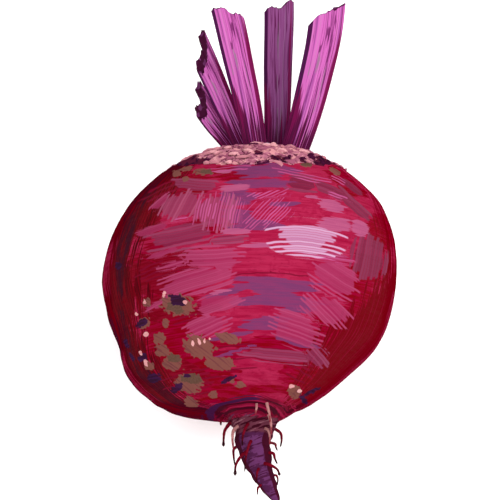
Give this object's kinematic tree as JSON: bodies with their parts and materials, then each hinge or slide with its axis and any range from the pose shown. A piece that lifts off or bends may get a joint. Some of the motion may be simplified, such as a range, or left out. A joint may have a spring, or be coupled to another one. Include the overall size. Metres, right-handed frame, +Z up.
{
  "type": "beetroot",
  "caption": "Beetroot lying on its side: a swollen round root with a corky crown, cut leaf stalks and a thin tapering tail fringed with fine side roots.",
  "frame": {"origin": "middle of the flat spot on the underside of the globe, on the table", "axes": "+Y along the root's axis from the tail towards the crown and the leaf stalks, +Z up from the table, +X to the right when seen from above with the crown away from the viewer"},
  "size_m": [0.08, 0.1421, 0.0756],
  "materials": {
    "skin": "satin",
    "leaf_stalk": "satin",
    "side_root": "matte"
  },
  "bodies": {
    "root": {"root": "skin", "leaf_stalk_far_left": "leaf_stalk", "leaf_stalk_left": "leaf_stalk", "leaf_stalk_centre_left": "leaf_stalk", "leaf_stalk_centre": "leaf_stalk", "leaf_stalk_right": "leaf_stalk", "side_root_01": "side_root", "side_root_02": "side_root", "side_root_03": "side_root", "side_root_04": "side_root", "side_root_05": "side_root", "side_root_06": "side_root", "side_root_07": "side_root", "side_root_08": "side_root", "side_root_09": "side_root", "side_root_10": "side_root", "side_root_11": "side_root", "side_root_12": "side_root", "side_root_13": "side_root", "side_root_14": "side_root", "side_root_15": "side_root", "side_root_16": "side_root", "side_root_17": "side_root", "side_root_18": "side_root", "side_root_19": "side_root", "side_root_20": "side_root", "side_root_21": "side_root"}
  },
  "joints": []
}
